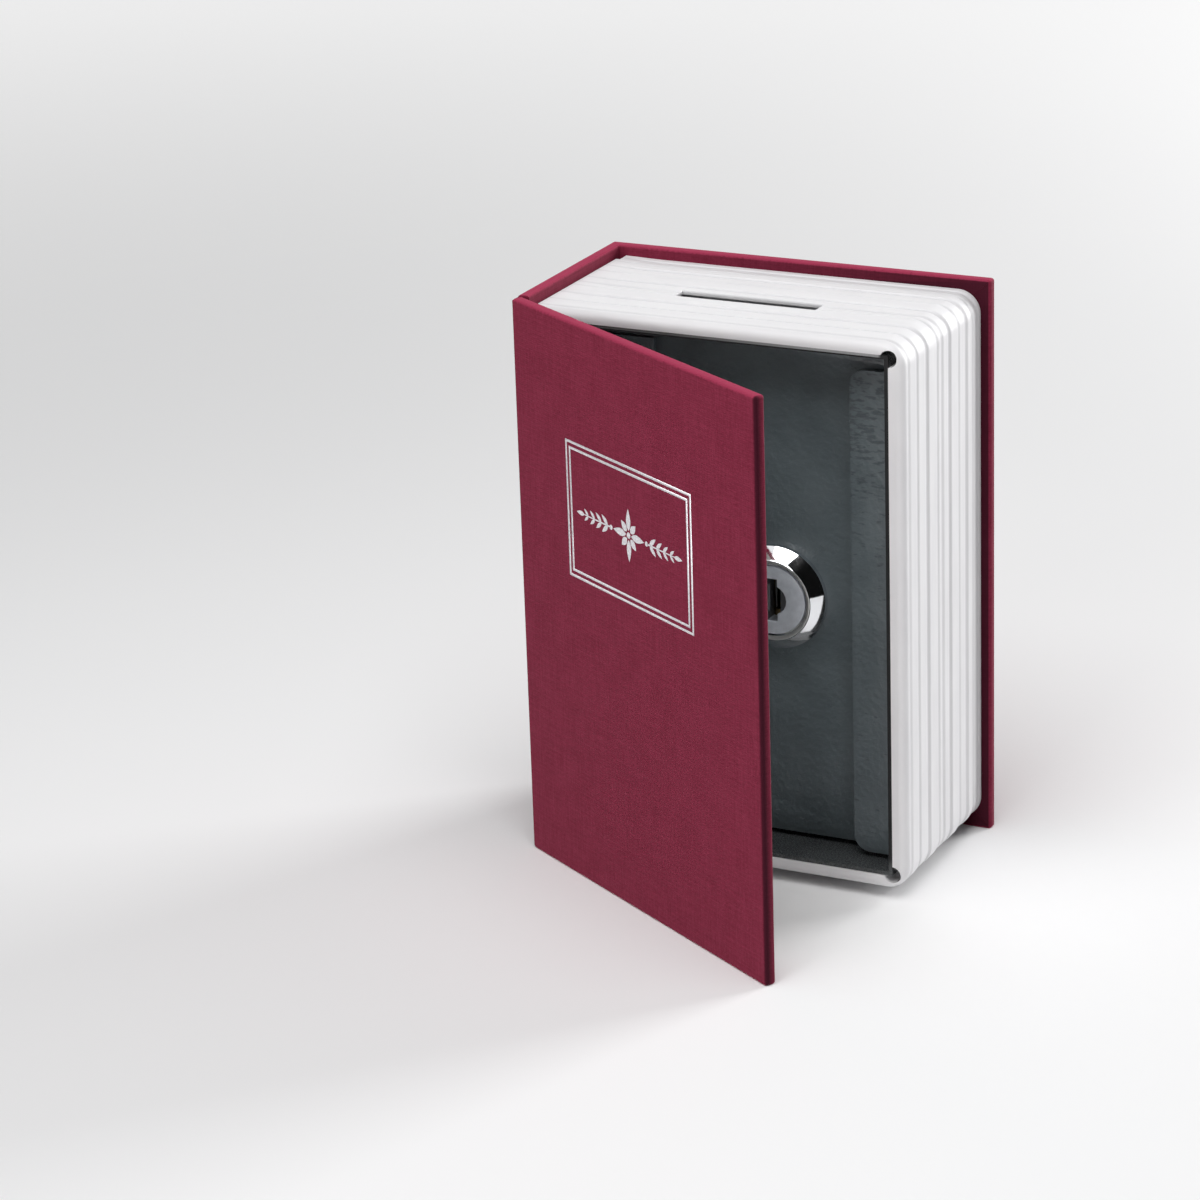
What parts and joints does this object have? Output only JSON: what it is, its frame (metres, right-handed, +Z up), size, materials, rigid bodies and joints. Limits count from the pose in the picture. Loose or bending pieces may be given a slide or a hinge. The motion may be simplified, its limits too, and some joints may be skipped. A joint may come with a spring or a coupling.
{
  "type": "book diversion safe",
  "caption": "Steel lock box hidden in a moulded page block and cloth hard cover, with a hinged cover, a door with a pull lip and cam lock, and a coin slot.",
  "frame": {"origin": "on the surface it stands on, under the middle of its bounding box with the cover ajar", "axes": "+Z up along the spine, +X from the spine towards the fore-edge, +Y from the front cover towards the back cover"},
  "size_m": [0.082, 0.0872, 0.115],
  "materials": {
    "cloth": "burgundy book cloth with a fine weave",
    "board": "grey-brown binder's board",
    "lining": "off-white lining paper",
    "pages": "satin white moulded plastic",
    "powder": "dark grey powder coat with orange peel",
    "bezel": "bright chrome",
    "plug": "satin chrome",
    "steel": "zinc-plated steel",
    "brass": "satin brass"
  },
  "bodies": {
    "safe": {"case_cloth": "cloth", "hinge_cloth": "cloth", "spine_board": "board", "back_board": "board", "spine_lining": "lining", "back_lining": "lining", "page_block": "pages", "inner_box": "powder", "strike_plate": "steel", "door_stop_lower": "steel", "door_stop_upper": "steel", "hinge_leaf_box": "powder", "hinge_pin": "steel", "box_rivet_1": "steel", "box_rivet_2": "steel", "box_rivet_3": "steel", "box_screw_1": "steel", "box_screw_2": "steel", "box_screw_3": "steel", "box_screw_4": "steel"},
    "front_cover": {"front_cloth": "cloth", "front_board": "board", "front_lining": "lining"},
    "safe_door": {"door": "powder", "hinge_leaf_door": "powder", "door_rivet_1": "powder", "door_rivet_2": "powder", "door_rivet_3": "powder", "lock_body": "bezel", "lock_washer": "steel", "lock_nut": "steel"},
    "turning_plug": {"lock_plug": "plug", "lock_cam": "steel", "cam_washer": "steel", "cam_screw": "steel", "wafer_spring_1": "steel", "wafer_spring_2": "steel", "wafer_spring_3": "steel", "wafer_spring_4": "steel"},
    "wafer_body_1": {"wafer_1": "brass"},
    "wafer_body_2": {"wafer_2": "brass"},
    "wafer_body_3": {"wafer_3": "brass"},
    "wafer_body_4": {"wafer_4": "brass"}
  },
  "joints": [
    {"name": "cover_hinge", "type": "hinge", "parent": "safe", "child": "front_cover", "pos_m": [-0.04105, -0.00137, 0.0575], "axis": [0, 0, -1], "range_deg": [-31.2, 148.8]},
    {"name": "door_hinge", "type": "hinge", "parent": "safe", "child": "safe_door", "pos_m": [-0.03265, 0.00943, 0.0575], "axis": [0, 0, -1], "range_deg": [0, 38]},
    {"name": "lock_turn", "type": "hinge", "parent": "safe_door", "child": "turning_plug", "pos_m": [0.00845, 0.01103, 0.0564], "axis": [0, -1, 0], "range_deg": [0, 90]},
    {"name": "wafer_1_slide", "type": "slide", "parent": "turning_plug", "child": "wafer_body_1", "axis": [0, 0, -1], "range_m": [0, 0.0006], "deforming": ["wafer_spring_1"]},
    {"name": "wafer_2_slide", "type": "slide", "parent": "turning_plug", "child": "wafer_body_2", "axis": [0, 0, 1], "range_m": [0, 0.0006], "deforming": ["wafer_spring_2"]},
    {"name": "wafer_3_slide", "type": "slide", "parent": "turning_plug", "child": "wafer_body_3", "axis": [0, 0, -1], "range_m": [0, 0.0006], "deforming": ["wafer_spring_3"]},
    {"name": "wafer_4_slide", "type": "slide", "parent": "turning_plug", "child": "wafer_body_4", "axis": [0, 0, 1], "range_m": [0, 0.0006], "deforming": ["wafer_spring_4"]}
  ]
}
